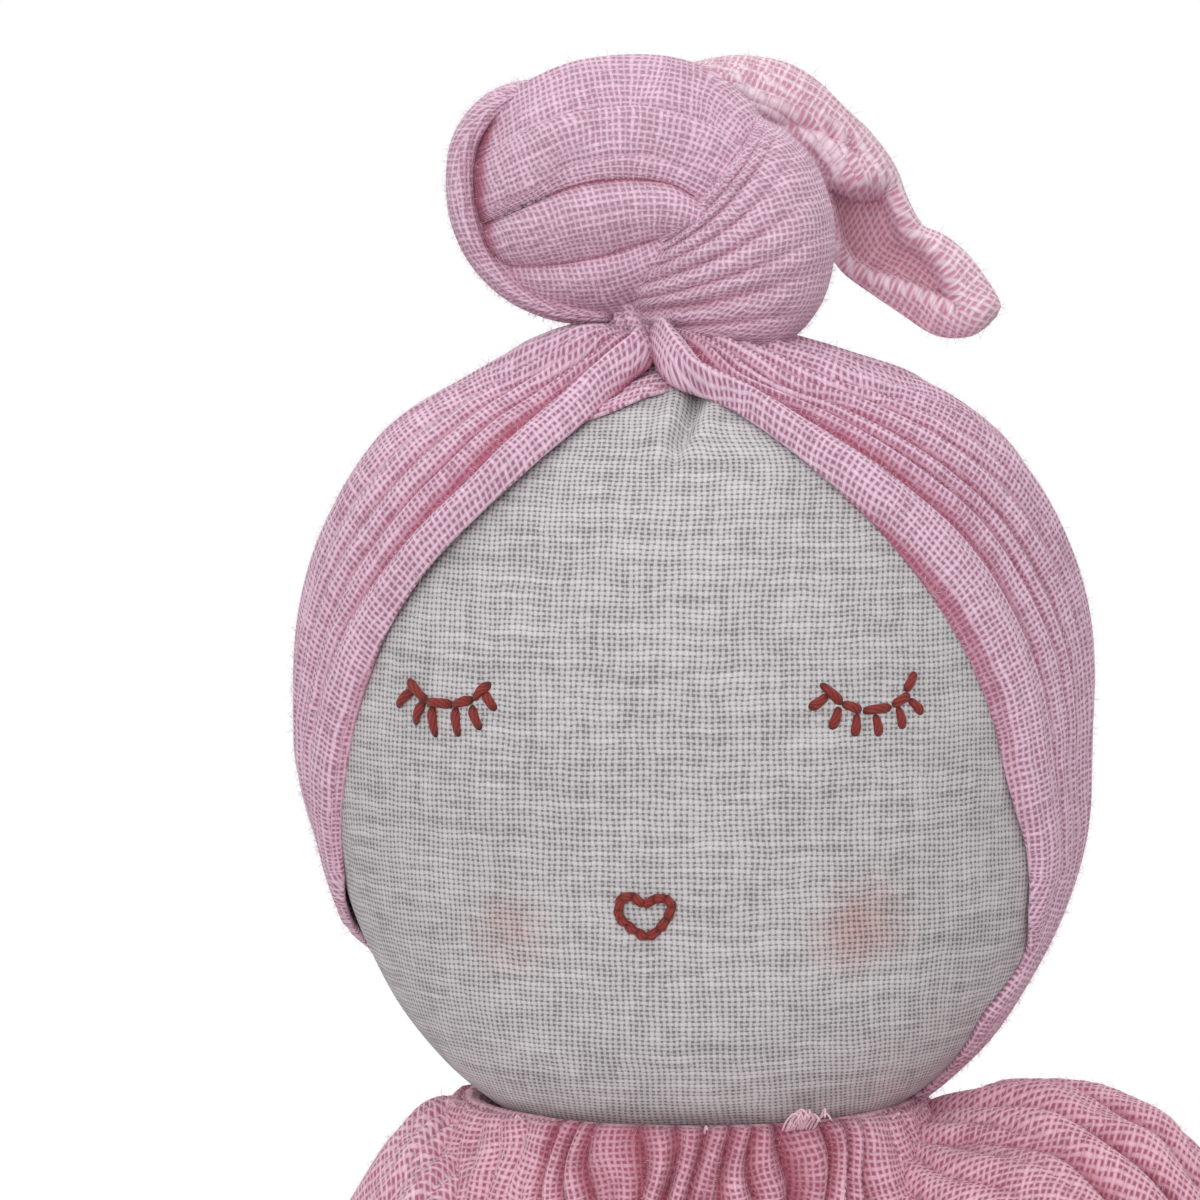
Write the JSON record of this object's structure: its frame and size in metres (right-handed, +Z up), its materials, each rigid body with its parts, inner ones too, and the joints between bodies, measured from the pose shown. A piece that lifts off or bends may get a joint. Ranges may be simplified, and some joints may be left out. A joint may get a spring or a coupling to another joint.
{
  "type": "rattle doll",
  "caption": "Seated soft rag doll with a stuffed linen head, embroidered sleeping face, knotted muslin head wrap, gathered dress, hinged limbs and a rattle capsule in the belly.",
  "frame": {"origin": "middle of the flat seat panel, on the surface that the doll sits on", "axes": "+Z up through the head; the doll faces -Y and its own left side is +X"},
  "size_m": [0.1382, 0.1336, 0.1893],
  "materials": {
    "linen": "plain-weave undyed linen with slubs",
    "wrap_muslin": "crinkled double muslin, mauve pink",
    "dress_muslin": "crinkled double muslin, rose pink",
    "thread": "rust embroidery thread",
    "wadding": "loose fibre fill",
    "capsule": "moulded",
    "bead": "tumbled"
  },
  "bodies": {
    "torso": {"torso_front_panel": "linen", "torso_back_panel": "linen", "torso_seat_panel": "linen", "torso_stuffing_front": "wadding", "torso_stuffing_back": "wadding", "rattle_shell_lower": "capsule", "rattle_shell_upper": "capsule", "dress_front": "dress_muslin", "dress_back": "dress_muslin"},
    "neck": {"neck": "linen", "neckline_gather": "dress_muslin"},
    "head": {"head_stuffing": "wadding", "face_panel": "linen", "head_back_panel": "linen", "right_eye_stitches": "thread", "left_eye_stitches": "thread", "mouth_stitches": "thread", "head_wrap": "wrap_muslin", "knot_right_lobe": "wrap_muslin", "knot_left_lobe": "wrap_muslin"},
    "tail": {"knot_tail": "wrap_muslin"},
    "left_arm": {"left_arm": "linen", "left_sleeve": "dress_muslin"},
    "right_arm": {"right_arm": "linen", "right_sleeve": "dress_muslin"},
    "left_leg": {"left_leg": "linen"},
    "right_leg": {"right_leg": "linen"},
    "bead_1": {"rattle_bead_1": "bead"},
    "bead_2": {"rattle_bead_2": "bead"},
    "bead_3": {"rattle_bead_3": "bead"},
    "bead_4": {"rattle_bead_4": "bead"},
    "bead_5": {"rattle_bead_5": "bead"}
  },
  "joints": [
    {"name": "neck_nod", "type": "hinge", "parent": "torso", "child": "neck", "pos_m": [0, 0, 0.058], "axis": [1, 0, 0], "range_deg": [-15, 15], "stiffness_Nm_per_rad": 0.15},
    {"name": "head_turn", "type": "hinge", "parent": "neck", "child": "head", "pos_m": [0, 0, 0.079], "axis": [0, 0, 1], "range_deg": [-40, 40], "stiffness_Nm_per_rad": 0.02},
    {"name": "tail_flop", "type": "hinge", "parent": "head", "child": "tail", "pos_m": [0.0015, 0.0054, 0.177], "axis": [0, 1, 0], "range_deg": [-40, 8], "stiffness_Nm_per_rad": 0.002},
    {"name": "left_shoulder", "type": "hinge", "parent": "torso", "child": "left_arm", "pos_m": [0.03, 0, 0.058], "axis": [1, 0, 0], "range_deg": [-75, 40], "stiffness_Nm_per_rad": 0.004},
    {"name": "right_shoulder", "type": "hinge", "parent": "torso", "child": "right_arm", "pos_m": [-0.03, 0, 0.058], "axis": [1, 0, 0], "range_deg": [-75, 40], "stiffness_Nm_per_rad": 0.004},
    {"name": "left_hip", "type": "hinge", "parent": "torso", "child": "left_leg", "pos_m": [0.012, -0.012, 0.0113], "axis": [1, 0, 0], "range_deg": [0, 90], "stiffness_Nm_per_rad": 0.004},
    {"name": "right_hip", "type": "hinge", "parent": "torso", "child": "right_leg", "pos_m": [-0.012, -0.012, 0.0113], "axis": [1, 0, 0], "range_deg": [0, 90], "stiffness_Nm_per_rad": 0.004},
    {"name": "bead_1_slide", "type": "slide", "parent": "torso", "child": "bead_1", "axis": [0, 0, 1], "range_m": [0, 0.0168]},
    {"name": "bead_2_slide", "type": "slide", "parent": "torso", "child": "bead_2", "axis": [0, 0, 1], "range_m": [0, 0.0122]},
    {"name": "bead_3_slide", "type": "slide", "parent": "torso", "child": "bead_3", "axis": [0, 0, 1], "range_m": [0, 0.0122]},
    {"name": "bead_4_slide", "type": "slide", "parent": "torso", "child": "bead_4", "axis": [0, 0, 1], "range_m": [0, 0.0122]},
    {"name": "bead_5_slide", "type": "slide", "parent": "torso", "child": "bead_5", "axis": [0, 0, 1], "range_m": [0, 0.0122]}
  ]
}
